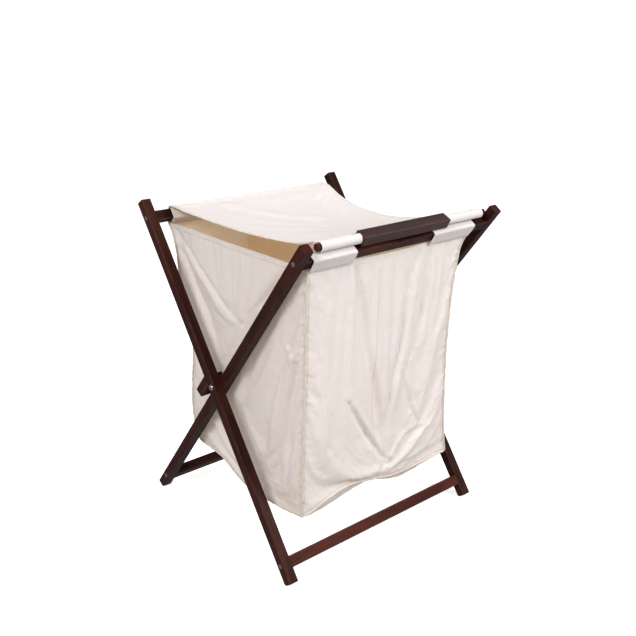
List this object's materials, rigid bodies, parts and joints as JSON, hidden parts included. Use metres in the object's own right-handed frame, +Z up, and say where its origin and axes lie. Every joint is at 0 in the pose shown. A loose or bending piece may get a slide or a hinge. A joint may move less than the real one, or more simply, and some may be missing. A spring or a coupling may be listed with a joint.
{
  "type": "laundry sorter",
  "caption": "Folding laundry sorter: two crossed wooden leg frames carry a canvas bag with two compartments under a canvas lid that has a wooden lift bar.",
  "frame": {"origin": "on the floor at the centre of the footprint, below the pivot axis", "axes": "+Z up, the front faces -Y, +X to the right as seen from the front"},
  "size_m": [0.5042, 0.4436, 0.5996],
  "materials": {
    "dark_wood": "dark mahogany stain, satin",
    "worn_wood": "dark mahogany stain with a redder tone, satin",
    "canvas": "plain weave natural canvas",
    "lining": "plain weave canvas, tan inner face",
    "steel": "zinc-plated"
  },
  "bodies": {
    "rear_frame": {"left_outer_leg": "dark_wood", "right_inner_leg": "dark_wood", "rear_top_rail": "dark_wood", "front_bottom_rail": "worn_wood", "rear_frame_screws": "steel", "bag_rear_sleeve": "canvas", "lid_rear_sleeve": "canvas"},
    "front_frame": {"left_inner_leg": "dark_wood", "right_outer_leg": "dark_wood", "front_top_rail": "dark_wood", "rear_bottom_rail": "dark_wood", "front_frame_screws": "steel", "left_stop_block": "dark_wood", "right_stop_block": "dark_wood", "bag_front_left_sleeve": "canvas", "bag_front_right_sleeve": "canvas"},
    "pivot_hardware": {"left_pivot_bolt": "steel", "right_pivot_bolt": "steel", "left_pivot_washer": "steel", "right_pivot_washer": "steel", "left_pivot_nut": "steel", "right_pivot_nut": "steel"},
    "bag": {"bag_front_panel": "canvas", "bag_rear_panel": "canvas", "bag_left_panel": "canvas", "bag_right_panel": "canvas", "bag_floor": "lining", "bag_divider": "lining"},
    "lid": {"lid_cloth": "canvas", "lid_left_sleeve": "canvas", "lid_right_sleeve": "canvas", "lid_left_dowel": "worn_wood", "lid_right_dowel": "dark_wood", "lid_handle": "dark_wood"}
  },
  "joints": [
    {"name": "frame_fold", "type": "hinge", "parent": "rear_frame", "child": "front_frame", "pos_m": [0, 0, 0.29808], "axis": [-1, 0, 0], "range_deg": [0, 66], "deforming": ["bag_front_panel", "bag_rear_panel", "bag_left_panel", "bag_right_panel", "bag_floor", "bag_divider"]},
    {"name": "pivot_turn", "type": "hinge", "parent": "rear_frame", "child": "pivot_hardware", "pos_m": [0, 0, 0.29808], "axis": [-1, 0, 0], "range_deg": [0, 33.5]},
    {"name": "bag_rise", "type": "slide", "parent": "pivot_hardware", "child": "bag", "axis": [0, 0, 1], "range_m": [0, 0.064]},
    {"name": "lid_open", "type": "hinge", "parent": "front_frame", "child": "lid", "pos_m": [0, 0.20806, 0.57487], "axis": [1, 0, 0], "range_deg": [-266, 0], "deforming": ["lid_cloth"]}
  ],
  "couplings": [
    {"joint": "pivot_turn", "follows": "frame_fold", "ratio": 0.5},
    {"joint": "bag_rise", "follows": "frame_fold", "m_per_rad": 0.0545}
  ]
}
